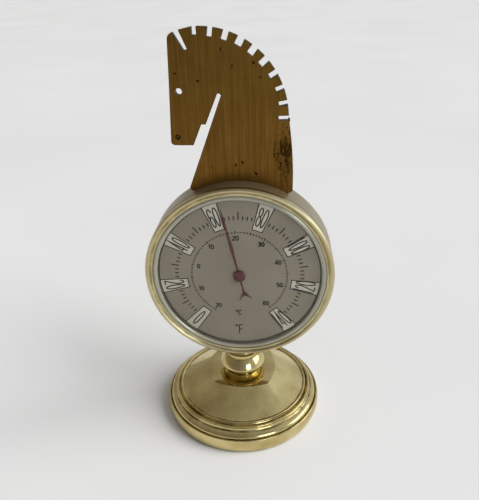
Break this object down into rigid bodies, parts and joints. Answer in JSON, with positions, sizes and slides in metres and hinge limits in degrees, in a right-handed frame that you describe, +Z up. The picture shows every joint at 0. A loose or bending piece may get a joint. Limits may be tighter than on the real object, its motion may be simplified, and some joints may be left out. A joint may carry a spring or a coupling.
{
  "type": "dial thermometer",
  "caption": "Table dial thermometer: bimetal movement in a round brass case on a turned foot, with a flat sawn horse's head standing on the case.",
  "frame": {"origin": "centre of the foot's underside, on the surface it stands on", "axes": "+Z up along the stem, the dial faces -Y, +X is to the right as the dial is read"},
  "size_m": [0.0698, 0.064, 0.1502],
  "materials": {
    "polished_brass": "polished",
    "case_brass": "satin",
    "turned_brass": "machined",
    "aged_brass": "brushed, aged dark",
    "cast_iron": "rough",
    "steel": "satin",
    "bimetal_strip": "rolled",
    "dial_face": "satin champagne",
    "crystal_glass": "clear",
    "pointer_red": "satin",
    "felt": "felt"
  },
  "bodies": {
    "stand": {"base_shell": "polished_brass", "base_weight": "cast_iron", "felt_pad": "felt", "base_washer": "steel", "stud_nuts": "steel", "stem_stud": "steel", "stem_knob": "polished_brass", "neck_collar": "polished_brass", "case_saddle": "turned_brass", "case_drum": "case_brass", "bezel": "case_brass", "crystal": "crystal_glass", "seat_ring": "turned_brass", "dial_plate": "dial_face", "dial_pillars": "turned_brass", "back_screws": "steel", "movement_bridge": "turned_brass", "bridge_posts": "turned_brass", "bridge_screws": "steel", "front_bush": "turned_brass", "rear_bush": "turned_brass", "coil_anchor": "turned_brass", "bimetal_coil": "bimetal_strip", "horse_plate": "aged_brass", "plate_pins": "aged_brass"},
    "pointer_arbor": {"arbor": "steel", "coil_collet": "turned_brass", "pointer": "pointer_red", "pointer_hub": "pointer_red"}
  },
  "joints": [
    {"name": "pointer_turn", "type": "hinge", "parent": "stand", "child": "pointer_arbor", "pos_m": [0, 0, 0.0648], "axis": [0, 1, 0], "range_deg": [-127, 153], "stiffness_Nm_per_rad": 0.0038, "deforming": ["bimetal_coil"]}
  ]
}
